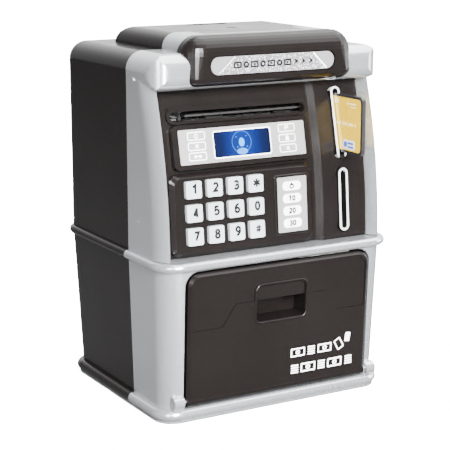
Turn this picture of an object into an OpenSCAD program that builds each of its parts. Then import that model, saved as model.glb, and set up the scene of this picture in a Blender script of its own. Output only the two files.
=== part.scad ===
// Toy cash-machine savings bank: an upright two-colour case with a keypad, a display,
// a bill feeder, a coin slot and a card slot above a bottom-hinged cash door.
// Millimetres. +Z is up, the front faces -Y, and the origin lies on the underside,
// below the middle of the waist rib.

/* [Case] */
// Outer width of the upper case
body_w = 130.6; // [130:0.1:131]
// Distance from the middle to the back of the upper case
body_back = 57.6; // [57:0.1:57.8]
// Height of the shoulders
shoulder_z = 181; // [180:0.5:181]
// Radius of the case's rounded edges
case_r = 9.3; // [8.5:0.1:9.5]
// Wall thickness of the plastic shells
wall = 2.4; // [2:0.1:2.6]
// Wall thickness at the back of the case
back_wall = 3.4; // [3:0.1:3.6]
// Distance from the middle to the parting line of the two shells, towards the front
split_y = 17.5; // [17:0.5:18]
// Depth that the lower case narrows by at each side, from waist to foot
side_taper = 2; // [1:0.1:2]
// Height of the battery hump above the shoulders
hump_h = 8.2; // [8:0.1:8.4]

/* [Waist rib and foot] */
// Width over the waist rib
rib_w = 136; // [135.6:0.1:136]
// Depth over the waist rib
rib_d = 119.2; // [119:0.1:119.2]
// Height of the middle of the rib
rib_z = 80; // [80:0.1:80]
// Width over the foot
foot_w = 133.6; // [133:0.1:133.6]
// Depth over the foot
foot_d = 110.4; // [110:0.1:110.4]
// Thickness of the foot, base plate included
foot_h = 7.1; // [7:0.1:7.2]

/* [Front] */
// Radius of the curved front panel
front_r = 265.4; // [265:0.1:266]
// How far the side pillars stand out from the front panel
pillar_h = 7.6; // [7:0.1:8]
// Thickness of the front panel
panel_t = 2.2; // [2:0.1:2.4]
// Width of the key caps
key_w = 8.5; // [8.3:0.1:8.6]
// Distance between key columns
key_pitch_x = 11.65; // [11.6:0.01:11.7]
// Distance between key rows
key_pitch_y = 11.5; // [11.4:0.01:11.5]
// Travel of a key
key_travel = 1.2; // [0.8:0.1:1.3]

/* [Slots] */
// Clear width of the bill slot
bill_slot_w = 77; // [77:0.5:77]
// Clear height of the bill slot
bill_slot_h = 4.5; // [4.4:0.1:4.6]
// Clear width of the coin slot and the card slot
thin_slot_w = 3.1; // [3:0.1:3.2]
// Height of the coin slot
coin_slot_len = 30; // [29:0.5:30]
// Height of the card
card_h = 29.4; // [29:0.1:29.5]
// Thickness of the card
card_t = 2; // [1.8:0.1:2]

/* [Cash door] */
// Width of the door
door_w = 106; // [105.6:0.1:106]
// Height of the door above its hinge
door_h = 65.6; // [65:0.1:65.6]
// Radius of the hinge pins
pin_r = 1.25; // [1.2:0.05:1.3]

/* [Feeder] */
// Radius of the rubber feed rollers
roller_r = 5; // [4.9:0.1:5]
// Gear module
gear_m = 0.6; // [0.6:0.1:0.6]
// Teeth on the feed shaft's gear
gear_teeth = 40; // [40:1:40]
// Teeth on the motor pinion
pinion_teeth = 12; // [12:1:12]

/* [Hidden] */
eps = 0.01;
big = 400;
round_fn = 64;
arc_fn = 720;
screw_r = 1.5;
screw_head_r = 2.6;

// Colours
silver = "silver";
gloss_black = [0.12, 0.11, 0.11];
key_white = [0.88, 0.9, 0.92];
board_green = [0.1, 0.4, 0.2];
steel = [0.7, 0.7, 0.72];
inner_white = [0.85, 0.85, 0.82];
rubber_black = [0.08, 0.08, 0.08];

// Upper case
half_w = body_w / 2;
panel_half_w = 57.3;
hump_top = shoulder_z + hump_h;
hump_half_w = 45.4;
hump_back = 36;
hump_r = 7.5;
hump_back_r = 11;

// Waist rib and foot
rib_r = 2.3;
rib_corner = 11.1;
rib_half_w = rib_w / 2 - rib_r;
rib_half_d = rib_d / 2 - rib_r;
ledge_top = rib_z + 2;
seam_z = ledge_top + 0.35;
foot_bead_r = 2.9;
base_t = 1.3;
foot_half_w = foot_w / 2 - foot_bead_r;
foot_half_d = foot_d / 2 - foot_bead_r;
foot_corner = 9;
foot_bead_z = foot_h - foot_bead_r;
base_pad_top = 3.3;

// Lower case, at the waist and at the foot
waist_front = 57;
foot_front = 54.2;
foot_back = 52.7;
lower_front_r = 12.5;
lower_back_r = 9.5;

// The curved front is part of a cylinder about an axis along X
arc_y = 218.9;
arc_z = 80.8;
crest_r = front_r + pillar_h;
pillar_soft_r = 15;
pillar_turn = 44.5;
crest_x = half_w - pillar_soft_r * (1 - cos(pillar_turn));
crease_r = crest_r - pillar_soft_r * sin(pillar_turn);
panel_top_z = 162.6;
panel_bottom_z = 82.5;

// Head
head_front = 47;
head_w = body_w + 0.3;
head_back = 17.65;
head_low = 163.5;
head_top = 181.3;
head_low_r = 7.5;
head_edge_r = 7;
head_plan_r = 9;

// Hood over the head
hood_half_w = 48.2;
hood_front = 49.5;
hood_back = 37.5;
hood_low = 164.7;
hood_top = 189.4;
hood_side_r = 8;
hood_low_r = 5;
hood_top_r = 10.5;
header_half_l = 35.3;
header_z = 175;
header_r = 4.3;

// Things on the front panel: centre x, centre height, width, height along the panel
bill_x = -14.1;
bill_z = 150.5;
bill_w = 80.8;
bill_h = 8.4;
display_x = -14.5;
display_z = 135.4;
display_w = 78;
display_h = 21.8;
display_proud = 3;
label_x = 0.3;
label_w = 71.8;
label_h = 17;
label_t = 0.6;
screen_x = -0.3;
screen_w = 31.9;
screen_h = 12.4;
keypad_x = -15.4;
keypad_z = 102.8;
keypad_w = 82;
keypad_h = 40.8;
keypad_proud = 2.2;
keypad_slope = 2;
key_proud = 1.7;
first_key_x = -29.3;
first_key_y = 12.7;
amount_x = 27.1;
amount_y = 0.1;
amount_w = 17.2;
amount_h = 27.9;
slot_x = 43;
card_slot_z = 141.1;
card_slot_len = 36.4;
coin_slot_z = 102.5;
thin_bezel_w = 6.2;
card_z = 142;
card_out = 65.1;
card_len = 49.3;
column_t = 2.2;
column_base_x = 27.6;
column_crest_x = 30.9;

// Cash door
door_lean = 3.03;
pivot_y = -53;
pivot_z = 10.8;
barrel_r = 2.6;
door_front_y = -55.43;
door_t = 3.6;
door_corner = 6.5;
opening_half_w = 54.3;
opening_top = 77.2;
pull_half_w = 14.4;
pull_low = 36.4;
pull_high = 54.7;
pull_lip = 47.4;
pull_depth = 11;
boss_r = 3.4;
lug_z = 71.9;
keeper = 4.6;
lug_low = 56.6;
lug_high = 64.7;
lock_x = 18;
bolt_y = -49;
bolt_r = 1.6;

// Feeder
shaft_r = 1.5;
fit = 0.05;
feed_y = -20;
feed_z = 145.3;
press_z = feed_z + 2 * roller_r + 0.4;
left_cheek_x = -41;
right_cheek_x = 38;
gear_r = gear_m * gear_teeth / 2;
pinion_r = gear_m * pinion_teeth / 2;
gear_x = -46.6;
gear_w = 3;
mesh_angle = -18;
mesh_gap = 0.25;
motor_shaft_r = 1;
motor_y = feed_y + (gear_r + pinion_r + mesh_gap) * cos(mesh_angle);
motor_z = feed_z + (gear_r + pinion_r + mesh_gap) * sin(mesh_angle);

// Battery compartment
cell_r = 7.25;
cell_len = 50.5;
cell_pitch = 15.1;
cell_y = -7.5;
cell_z = 176.5;
cover_half_w = 29.5;
cover_half_d = 24.5;
cover_t = 1.8;

// Screws
base_screw_x = 57.2;
base_screw_y = 44.5;
case_screw_x = 54.5;
case_screw_zs = [91, 160];

shelf_z = 83.6;
lever_y = -30;
lever_z = 116;

// Angle of the curved front at a height
function tilt_at(z, r = front_r) = asin((z - arc_z) / r);

// ---- Shared shapes ----

module rounded_rect(w, h, r) {
    square([w - 2 * r, h], center = true);
    square([w, h - 2 * r], center = true);
    for (sx = [-1, 1], sy = [-1, 1])
        translate([sx * (w / 2 - r), sy * (h / 2 - r)]) circle(r, $fn = round_fn);
}

module rounded_block(w, h, r, z0, z1) {
    translate([0, 0, z0]) linear_extrude(z1 - z0) rounded_rect(w, h, r);
}

module x_rod(r, x0, x1) {
    translate([x0, 0, 0]) rotate([0, 90, 0]) cylinder(r = r, h = x1 - x0, $fn = round_fn);
}

module y_rod(r, y0, y1) {
    translate([0, y0, 0]) rotate([-90, 0, 0]) cylinder(r = r, h = y1 - y0, $fn = round_fn);
}

module box(x0, x1, y0, y1, z0, z1) {
    translate([x0, y0, z0]) cube([x1 - x0, y1 - y0, z1 - z0]);
}

module front_half() {
    intersection() {
        children();
        box(-big, big, -big, -split_y, -big, big);
    }
}

module rear_half() {
    intersection() {
        children();
        box(-big, big, -split_y, big, -big, big);
    }
}

// Children's Z points out of the curved front, their Y runs up along it
module on_front(x, z, r = front_r) {
    translate([x, arc_y - r * cos(tilt_at(z, r)), z]) rotate([90 - tilt_at(z, r), 0, 0]) children();
}

// Children are an outline of (radius, -x), swept about the axis of the curved front
module front_sweep(z0, z1) {
    t0 = tilt_at(z0);
    t1 = tilt_at(z1);
    translate([0, arc_y, arc_z]) rotate([90, 0, -90]) rotate([0, 0, t0])
        rotate_extrude(angle = t1 - t0, $fn = arc_fn) children();
}

// Round bead that runs round a rounded rectangle
module bead(half_x, half_y, corner, r, z) {
    translate([0, 0, z]) {
        for (sx = [-1, 1]) {
            translate([sx * half_x, 0, 0]) y_rod(r, corner - half_y, half_y - corner);
            for (sy = [-1, 1])
                translate([sx * (half_x - corner), sy * (half_y - corner), 0])
                    rotate([0, 0, sx > 0 ? (sy > 0 ? 0 : 270) : (sy > 0 ? 90 : 180)])
                        rotate_extrude(angle = 90, $fn = round_fn)
                            translate([corner, 0]) circle(r, $fn = 32);
        }
        for (sy = [-1, 1])
            translate([0, sy * half_y, 0]) x_rod(r, corner - half_x, half_x - corner);
    }
}

// Tapered lower case, shrunk by a wall thickness
module lower_form(inset, z0, z1) {
    hull() {
        lower_slice(inset, z0);
        lower_slice(inset, z1);
    }
}

module lower_slice(inset, z) {
    f = (z - foot_h) / (rib_z - foot_h);
    hx = half_w - side_taper * (1 - f) - inset;
    yf = foot_front + (waist_front - foot_front) * f - inset;
    yb = foot_back + (body_back - foot_back) * f - inset;
    rf = lower_front_r - inset;
    rb = lower_back_r - inset;
    for (sx = [-1, 1]) {
        translate([sx * (hx - rf), rf - yf, z]) cylinder(r = rf, h = eps, $fn = round_fn);
        translate([sx * (hx - rb), yb - rb, z]) cylinder(r = rb, h = eps, $fn = round_fn);
    }
}

// Head block from the front, grown by a clearance
module head_outline(grow) {
    side = head_w / 2 + grow;
    low = head_low + head_low_r;
    high = head_top - case_r;
    translate([-side, low]) square([2 * side, high - low]);
    translate([case_r + grow - side, high - 1]) square([2 * (side - case_r - grow), case_r + grow + 1]);
    translate([head_low_r + grow - side, head_low - grow])
        square([2 * (side - head_low_r - grow), head_low_r + grow + 1]);
    for (sx = [-1, 1]) {
        translate([sx * (head_w / 2 - case_r), high]) circle(case_r + grow, $fn = 128);
        translate([sx * (head_w / 2 - head_low_r), low]) circle(head_low_r + grow, $fn = 128);
    }
}

// Head block, rounded in all three views
module head_form(grow) {
    h = head_top - head_low + 2 * grow;
    deep = 2 * (head_front + grow);
    intersection() {
        translate([0, -head_back, 0]) rotate([90, 0, 0]) linear_extrude(head_front) head_outline(grow);
        translate([half_w + 1, 0, (head_top + head_low) / 2]) rotate([0, -90, 0])
            linear_extrude(body_w + 2) rounded_rect(h, deep, head_edge_r + grow);
        rounded_block(head_w + 2 * grow, deep, head_plan_r + grow, head_low - 5, head_top + 5);
    }
}

// Hump that carries the battery cover, seen from the front
module hump_outline(inset) {
    r = hump_r - inset;
    low = shoulder_z - 1;
    translate([inset - hump_half_w, low]) square([2 * (hump_half_w - inset), hump_top - hump_r - low]);
    translate([hump_r - hump_half_w, low]) square([2 * (hump_half_w - hump_r), hump_top - inset - low]);
    for (sx = [-1, 1])
        translate([sx * (hump_half_w - hump_r), hump_top - hump_r]) circle(r, $fn = round_fn);
}

// The rear part of the hump, with its back edge rounded over
module rear_hump(inset) {
    r = hump_back_r - inset;
    back = hump_back - hump_back_r;
    intersection() {
        translate([0, hump_back + 1, 0]) rotate([90, 0, 0])
            linear_extrude(hump_back + split_y + 3) hump_outline(inset);
        translate([-big / 2, 0, 0]) rotate([90, 0, 90]) linear_extrude(big) {
            translate([-split_y - 1, 0]) square([back + split_y + 1, hump_top - inset]);
            translate([-split_y - 1, 0]) square([back + r + split_y + 1, hump_top - hump_back_r]);
            translate([back, hump_top - hump_back_r]) circle(r, $fn = 96);
        }
    }
}

module screw(len) {
    cylinder(r = screw_r, h = len, $fn = 32);
    difference() {
        translate([0, 0, -1.8]) cylinder(r = screw_head_r, h = 1.8, $fn = 48);
        for (a = [0, 90])
            rotate([0, 0, a]) translate([-1.7, -0.35, -1.8 - eps]) cube([3.4, 0.7, 0.9]);
    }
}

// Spur gear outline: straight-flanked teeth with a root clearance
module gear_outline(teeth) {
    r = gear_m * teeth / 2;
    step = 360 / teeth;
    root = r - 1.2 * gear_m;
    tip = r + 0.95 * gear_m;
    circle(root, $fn = 4 * teeth);
    for (i = [0:teeth - 1])
        rotate(i * step)
            polygon([
                [root * cos(step * 0.3) - 0.2, -root * sin(step * 0.3)],
                [r, -r * sin(step * 0.22)],
                [tip, -tip * sin(step * 0.1)],
                [tip, tip * sin(step * 0.1)],
                [r, r * sin(step * 0.22)],
                [root * cos(step * 0.3) - 0.2, root * sin(step * 0.3)]
            ]);
}

// ---- Shells ----

// Side wall and shoulder outline, seen from the front
module shoulder_outline(inset) {
    r = case_r - inset;
    difference() {
        union() {
            translate([-half_w + inset, 0]) square([body_w - 2 * inset, shoulder_z - case_r]);
            translate([-half_w + case_r, 0]) square([body_w - 2 * case_r, shoulder_z - inset]);
            for (sx = [-1, 1])
                translate([sx * (half_w - case_r), shoulder_z - case_r]) circle(r, $fn = round_fn);
        }
    }
}

module front_walls() {
    intersection() {
        translate([0, -split_y, 0]) rotate([90, 0, 0]) linear_extrude(30)
            difference() {
                shoulder_outline(0);
                shoulder_outline(wall);
                translate([-half_w, -eps]) square([body_w, seam_z]);
            }
        translate([0, arc_y, arc_z]) rotate([0, 90, 0])
            cylinder(r = crease_r - 3, h = body_w + 2, center = true, $fn = arc_fn);
    }
}

// Pillar cross-section in (radius, -x): soft outer corner, crest, and a slanted inner flank
module pillar_outline() {
    difference() {
        polygon([
            [crease_r - 14, -half_w],
            [crest_r, -half_w],
            [crest_r, -crest_x],
            [front_r + 0.2, -panel_half_w],
            [front_r + 0.2, wall - half_w],
            [crease_r - 14, wall - half_w]
        ]);
        difference() {
            translate([crease_r, -half_w - 1]) square([pillar_soft_r, half_w - crest_x + 1]);
            translate([crease_r, pillar_soft_r - half_w]) circle(pillar_soft_r, $fn = 180);
        }
    }
}

module front_pillars() {
    intersection() {
        for (s = [0, 1])
            mirror([s, 0, 0]) front_sweep(seam_z, head_low + 6) mirror([0, 1]) pillar_outline();
        box(-half_w - 1, half_w + 1, -big, -split_y - 0.15, 0, big);
    }
}

// Door opening seen from the front
module opening_outline() {
    r = 7.5;
    translate([-opening_half_w, foot_h + 0.2]) square([2 * opening_half_w, opening_top - foot_h - r]);
    translate([r - opening_half_w, foot_h + 0.2]) square([2 * opening_half_w - 2 * r, opening_top - foot_h]);
    for (sx = [-1, 1])
        translate([sx * (opening_half_w - r), opening_top + 0.2 - r]) circle(r, $fn = round_fn);
}

module waist_and_foot() {
    bead(rib_half_w, rib_half_d, rib_corner, rib_r, rib_z);
    bead(foot_half_w, foot_half_d, foot_corner, foot_bead_r, foot_bead_z);
}

module foot_ring() {
    difference() {
        rounded_block(2 * foot_half_w, 2 * foot_half_d, foot_corner, base_t, foot_h);
        rounded_block(2 * (half_w - side_taper - wall), 2 * (foot_back - wall), 7, base_t - 1, foot_h + 1);
    }
}

module front_ledge() {
    difference() {
        rounded_block(2 * rib_half_w, 2 * rib_half_d, rib_corner, ledge_top - 2.4, ledge_top);
        box(-half_w + wall, half_w - wall, -44, big, 0, big);
    }
}

module base_boss(x, y) {
    translate([x, y, base_pad_top + 0.1]) cylinder(r = 3.6, h = 12, $fn = 48);
}

module upper_frame() {
    color(silver) difference() {
        union() {
            front_walls();
            front_pillars();
            head_shell();
            hump_strip();
            for (sx = [-1, 1], z = case_screw_zs) {
                translate([sx * case_screw_x, 0, z]) y_rod(3.4, -split_y - 14, -split_y);
                translate([sx * (case_screw_x + 5), -split_y - 7, z]) cube([8, 14, 2], center = true);
            }
        }
        cover_well(0.25);
        for (sx = [-1, 1], z = case_screw_zs)
            translate([sx * case_screw_x, 0, z]) y_rod(screw_r, -split_y - 12, 1);
    }
}

module head_shell() {
    inset = 4.2;
    difference() {
        head_form(0);
        box(inset - half_w, half_w - inset, inset - head_front, big, head_low + wall, head_top - inset);
    }
}

// Front strip of the battery hump, between the hood and the parting line
module hump_strip() {
    translate([0, -split_y, 0]) rotate([90, 0, 0]) linear_extrude(hood_back - split_y - 0.2)
        difference() {
            hump_outline(0);
            hump_outline(wall);
        }
}

module lower_frame() {
    color(silver) difference() {
        union() {
            front_half() {
                difference() {
                    union() {
                        lower_form(0, base_t + 0.1, rib_z + 0.5);
                        waist_and_foot();
                        foot_ring();
                    }
                    lower_form(wall, base_t - 1, rib_z + 6);
                }
                front_ledge();
            }
            for (sx = [-1, 1]) {
                base_boss(sx * base_screw_x, -base_screw_y);
                translate([0, pivot_y, pivot_z])
                    x_rod(boss_r, sx > 0 ? opening_half_w + 0.3 : -60, sx > 0 ? 60 : -opening_half_w - 0.3);
            }
        }
        rotate([90, 0, 0]) linear_extrude(big) opening_outline();
        for (sx = [-1, 1]) {
            translate([0, pivot_y, pivot_z]) x_rod(pin_r, sx > 0 ? 0 : -59, sx > 0 ? 59 : 0);
            translate([sx * base_screw_x, -base_screw_y, 0]) cylinder(r = screw_r, h = 14, $fn = 32);
        }
    }
}

// Pocket and opening for the battery cover
module cover_well(gap) {
    translate([0, cell_y, hump_top - cover_t - gap])
        rounded_block(2 * (cover_half_w + gap), 2 * (cover_half_d + gap), 2.2, 0, 9);
    box(-cover_half_w + 1.5, cover_half_w - 1.5, cell_y - cover_half_d + 1.5, cell_y + cover_half_d - 1.5,
        shoulder_z - 4, hump_top);
}

module upper_rear_form(inset) {
    r = case_r - inset;
    top = shoulder_z - case_r;
    hull() {
        for (sx = [-1, 1]) {
            translate([sx * (half_w - case_r), body_back - case_r, rib_z]) cylinder(r = r, h = 1, $fn = 48);
            translate([sx * (half_w - case_r), body_back - case_r, top]) sphere(r = r, $fn = 48);
            translate([sx * (half_w - case_r), 0, top]) y_rod(r, -split_y, -split_y + 1);
            translate([sx * (half_w - case_r), -split_y, rib_z]) translate([-r, 0, 0]) cube([2 * r, 1, 1]);
        }
    }
}

module speaker_holes() {
    translate([-30, 0, 122]) {
        y_rod(1.1, 45, 60);
        for (ring = [1, 2, 3], i = [0:6 * ring - 1])
            rotate([0, i * 60 / ring, 0]) translate([ring * 4.2, 0, 0]) y_rod(1.1, 45, 60);
    }
}

module rear_case() {
    color(gloss_black) difference() {
        union() {
            rear_half() {
                upper_rear_form(0);
                rear_hump(0);
                lower_form(0, base_t + 0.1, rib_z + 0.5);
                waist_and_foot();
                foot_ring();
            }
        }
        difference() {
            union() {
                translate([0, wall - back_wall, 0]) upper_rear_form(wall);
                rear_hump(wall);
                lower_form(wall, base_t - 1, rib_z + 1);
            }
            for (sx = [-1, 1]) {
                base_boss(sx * base_screw_x, base_screw_y);
                for (z = case_screw_zs) {
                    translate([sx * case_screw_x, 0, z]) y_rod(4.4, -split_y, 60);
                    translate([sx * (case_screw_x + 7), 20, z]) cube([8, 70, 2], center = true);
                }
            }
        }
        cover_well(0.25);
        translate([0, cell_y + cover_half_d, hump_top]) finger_scoop();
        speaker_holes();
        for (sx = [-1, 1]) {
            translate([sx * base_screw_x, base_screw_y, 0]) cylinder(r = screw_r, h = 14, $fn = 32);
            for (z = case_screw_zs)
                translate([sx * case_screw_x, 0, z]) {
                    y_rod(screw_r, -split_y - 1, 60);
                    y_rod(screw_head_r + 0.3, -split_y + 3, 60);
                }
        }
    }
}

module finger_scoop() {
    intersection() {
        scale([1, 1, 0.25]) cylinder(r = 13, h = 8, center = true, $fn = 96);
        box(-12, 12, -1, 5.5, -1.4, 3);
    }
}

module base_plate() {
    color(silver) difference() {
        union() {
            rounded_block(2 * half_w, 2 * (foot_half_d + 1.4), foot_corner + 1.4, 0, base_t);
            rounded_block(2 * (half_w - side_taper - wall - 0.5), 2 * (foot_back - wall - 2.4), 6,
                0, base_pad_top);
        }
        for (sx = [-1, 1], sy = [-1, 1])
            translate([sx * base_screw_x, sy * base_screw_y, 0]) {
                translate([0, 0, -1]) cylinder(r = screw_r + 0.1, h = 9, $fn = 32);
                translate([0, 0, -1]) cylinder(r = screw_head_r + 0.3, h = 3.2, $fn = 48);
            }
    }
}

module base_screws() {
    color(steel) for (sx = [-1, 1], sy = [-1, 1])
        translate([sx * base_screw_x, sy * base_screw_y, 2.2]) screw(9);
}

module case_screws() {
    color(steel) for (sx = [-1, 1], z = case_screw_zs)
        translate([sx * case_screw_x, -split_y + 3, z]) rotate([90, 0, 0]) screw(12);
}

// ---- Head ----

// Soft corner of the hood: an ellipsoid in front, drawn straight back to the head
module hood_corner(rx, rz) {
    translate([0, hood_side_r - hood_front, 0]) {
        scale([rx / hood_side_r, 1, rz / hood_side_r]) sphere(hood_side_r, $fn = 32);
        rotate([-90, 0, 0]) scale([rx, rz, 1]) cylinder(r = 1, h = hood_side_r + 1, $fn = 32);
    }
}

module hood() {
    low_rx = hood_low_r + 2;
    top_x = hood_half_w - hood_top_r;
    color(gloss_black) difference() {
        hull()
            for (sx = [-1, 1]) {
                translate([sx * (hood_half_w - low_rx), 0, hood_low + hood_low_r])
                    hood_corner(low_rx, hood_low_r);
                translate([sx * top_x, 0, hood_top - hood_top_r]) hood_corner(hood_top_r, hood_top_r);
            }
        box(-half_w, half_w, -hood_back, 0, hood_low - 5, hood_top + 5);
        head_form(0.15);
        box(-top_x, top_x, hood_side_r - hood_front, 0, head_top - 1, hood_top - wall);
        translate([0, -hood_front, header_z]) header_block(header_half_l + 0.5, header_r + 0.5, 1.3);
    }
}

module header_block(half_l, r, depth) {
    rotate([-90, 0, 0]) translate([0, 0, -1]) linear_extrude(depth + 1)
        rounded_rect(2 * half_l, 2 * r, r - eps);
}

module header_plate() {
    color(silver) translate([0, -hood_front + 0.6, header_z]) rotate([-90, 0, 0])
        linear_extrude(0.7) rounded_rect(2 * header_half_l, 2 * header_r, header_r - eps);
}

// ---- Curved front ----

module facia_panel() {
    color(gloss_black) difference() {
        front_sweep(panel_bottom_z, panel_top_z)
            translate([front_r - panel_t, -panel_half_w - 3]) square([panel_t, 2 * panel_half_w + 6]);
        on_front(bill_x, bill_z) rounded_block(bill_w + 0.2, bill_h + 0.2, bill_h / 2, -5, 5);
        on_front(display_x, display_z) rounded_block(display_w + 0.2, display_h + 0.2, 3.1, -5, 5);
        on_front(keypad_x, keypad_z) rounded_block(keypad_w + 0.2, keypad_h + 0.2, 4.1, -6, 6);
        on_front(slot_x, card_slot_z) rounded_block(thin_bezel_w + 0.2, card_slot_len + 0.8, 3.5, -5, 5);
        on_front(slot_x, coin_slot_z) rounded_block(thin_bezel_w + 0.2, coin_slot_len + 3.6, 3.5, -5, 5);
    }
}

module column_panel() {
    color(gloss_black) difference() {
        front_sweep(panel_bottom_z, panel_top_z)
            polygon([[front_r + 0.05, 0.1 - panel_half_w], [front_r + column_t, 0.1 - panel_half_w],
                [front_r + column_t, -column_crest_x], [front_r + 0.05, -column_base_x]]);
        on_front(slot_x, card_slot_z) rounded_block(thin_bezel_w + 0.2, card_slot_len + 0.8, 3.5, -5, 5);
        on_front(slot_x, coin_slot_z) rounded_block(thin_bezel_w + 0.2, coin_slot_len + 3.6, 3.5, -5, 5);
    }
}

module bill_slot_bezel() {
    color(gloss_black) difference() {
        on_front(bill_x, bill_z) rounded_block(bill_w, bill_h, bill_h / 2 - eps, -panel_t, 1.6);
        translate([bill_x, 0, bill_z]) rotate([90, 0, 0])
            rounded_block(bill_slot_w, bill_slot_h, bill_slot_h / 2 - eps, 0, 60);
    }
}

module thin_bezel(z, len, slot_len) {
    difference() {
        on_front(slot_x, z) rounded_block(thin_bezel_w, len, thin_bezel_w / 2 - eps, -panel_t, column_t + 1);
        on_front(slot_x, z) rounded_block(thin_slot_w, slot_len, thin_slot_w / 2 - eps, -5, 5);
    }
}

module card_slot_bezel() {
    color(silver) thin_bezel(card_slot_z, card_slot_len + 0.6, card_slot_len - 2.8);
}

module coin_slot_bezel() {
    color(silver) thin_bezel(coin_slot_z, coin_slot_len + 3.4, coin_slot_len);
}

module display_bezel() {
    color(gloss_black) on_front(display_x, display_z) difference() {
        rounded_block(display_w, display_h, 3, -panel_t, display_proud);
        translate([label_x, 0, 0]) rounded_block(label_w + 0.2, label_h + 0.2, 1, display_proud - label_t, 9);
        translate([screen_x, 0, 0]) rounded_block(screen_w + 0.4, screen_h + 0.4, 1, -9, 9);
    }
}

module display_label() {
    color(silver) on_front(display_x, display_z) difference() {
        translate([label_x, 0, 0])
            rounded_block(label_w, label_h, 0.8, display_proud - label_t + 0.02, display_proud + 0.02);
        translate([screen_x, 0, 0]) rounded_block(screen_w + 0.2, screen_h + 0.2, 1.2, -9, 9);
    }
}

module display_screen() {
    color([0.05, 0.1, 0.45]) on_front(display_x + screen_x, display_z) {
        rounded_block(screen_w, screen_h, 1.1, -panel_t - 0.4, display_proud - 0.1);
        rounded_block(screen_w + 6, screen_h + 4, 1, -panel_t - 2.6, -panel_t - 0.4);
    }
}

module display_board() {
    color(board_green) on_front(display_x, display_z) {
        rounded_block(58, 19, 1, -panel_t - 4.4, -panel_t - 2.8);
        for (x = [-22, -14, 12, 20])
            translate([x, 3, 0]) rounded_block(4.5, 3, 0.3, -panel_t - 5.4, -panel_t - 4.4);
    }
}

// ---- Keypad ----

// Block whose upper edges slope inwards all round
module sloped_block(w, h, r, z0, z1, slope) {
    hull() {
        rounded_block(w, h, r, z0, z1 - slope);
        rounded_block(w - 2 * slope, h - 2 * slope, r - slope / 2, z0, z1);
    }
}

module keypad_window(x, y) {
    translate([x, y, 0]) rounded_block(key_w + 0.6, key_w + 0.6, 1.2, -9, 9);
}

module keypad_plate() {
    color(gloss_black) on_front(keypad_x, keypad_z) difference() {
        union() {
            sloped_block(keypad_w, keypad_h, 4.5, -panel_t - 0.4, keypad_proud, keypad_slope);
            translate([amount_x, amount_y, 0])
                sloped_block(amount_w + 3, amount_h + 3, 1.6, 0, keypad_proud + 0.9, 0.6);
        }
        for (col = [0:3], row = [0:2])
            keypad_window(first_key_x + col * key_pitch_x, first_key_y - row * key_pitch_y);
        translate([amount_x, amount_y, 0])
            rounded_block(amount_w + 0.2, amount_h + 0.2, 0.6, keypad_proud + 0.4, 9);
    }
}

module key(col, row) {
    color(key_white) on_front(keypad_x, keypad_z)
        translate([first_key_x + col * key_pitch_x, first_key_y - row * key_pitch_y, 0]) {
            rounded_block(key_w, key_w, 1, -panel_t - 1.2, keypad_proud + key_proud);
            rounded_block(key_w + 2, key_w + 2, 1, -panel_t - 1.6, -panel_t - 0.7);
        }
}

module key_1() key(0, 0);
module key_2() key(1, 0);
module key_3() key(2, 0);
module key_star() key(3, 0);
module key_4() key(0, 1);
module key_5() key(1, 1);
module key_6() key(2, 1);
module key_0() key(3, 1);
module key_7() key(0, 2);
module key_8() key(1, 2);
module key_9() key(2, 2);
module key_hash() key(3, 2);

module keypad_mat() {
    color(rubber_black) on_front(keypad_x, keypad_z)
        translate([first_key_x + 1.5 * key_pitch_x, first_key_y - key_pitch_y, 0])
            rounded_block(49, 34, 1, -panel_t - 4.4, -panel_t - key_travel - 1.9);
}

module keypad_board() {
    color(board_green) on_front(keypad_x, keypad_z) translate([0, first_key_y - key_pitch_y, 0]) {
        rounded_block(74, 34, 1, -panel_t - 6, -panel_t - 4.4);
        for (x = [-20, 4, 22], y = [-8, 8])
            translate([x, y, 0]) rounded_block(7, 5, 0.4, -panel_t - 7.2, -panel_t - 6);
    }
}

module amount_label() {
    color(silver) on_front(keypad_x, keypad_z) translate([amount_x, amount_y, 0])
        rounded_block(amount_w, amount_h, 0.5, keypad_proud + 0.4, keypad_proud + 1);
}

// ---- Bill feeder ----

module at_shaft(z) {
    translate([0, feed_y, z]) children();
}

module roller_frame() {
    guide_z = feed_z + roller_r - 1.2;
    color(inner_white) difference() {
        union() {
            for (x = [left_cheek_x, right_cheek_x])
                box(x - 1, x + 1, feed_y - 7, feed_y + 14, feed_z - 8, press_z + 4);
            box(left_cheek_x, right_cheek_x, feed_y - 12, feed_y + 14, guide_z, guide_z + 1);
            box(left_cheek_x, right_cheek_x, feed_y + 12.4, feed_y + 14, guide_z - 7, guide_z + 1);
        }
        for (sx = [-1, 1])
            box(sx * 20 - 6.5, sx * 20 + 6.5, feed_y - 6, feed_y + 6, guide_z - 1, guide_z + 2);
        at_shaft(feed_z) x_rod(shaft_r + fit, -50, 50);
        at_shaft(press_z) x_rod(shaft_r + fit, -50, 50);
    }
}

module roller_tyres(z) {
    at_shaft(z) for (sx = [-1, 1]) translate([sx * 20, 0, 0]) x_rod(roller_r, -5, 5);
}

module drive_tyres() {
    color(rubber_black) difference() {
        roller_tyres(feed_z);
        at_shaft(feed_z) x_rod(shaft_r, -30, 30);
    }
}

module drive_shaft() {
    color(steel) at_shaft(feed_z) x_rod(shaft_r, gear_x - gear_w / 2 - 1, right_cheek_x + 1.5);
}

module pressure_tyres() {
    color(rubber_black) difference() {
        roller_tyres(press_z);
        at_shaft(press_z) x_rod(shaft_r, -30, 30);
    }
}

module pressure_shaft() {
    color(steel) at_shaft(press_z) x_rod(shaft_r, left_cheek_x - 2, right_cheek_x + 1.5);
}

module drive_gear() {
    color(inner_white) translate([gear_x - gear_w / 2, feed_y, feed_z]) rotate([0, 90, 0])
        linear_extrude(gear_w) difference() {
            gear_outline(gear_teeth);
            circle(shaft_r, $fn = 48);
        }
}

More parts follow.
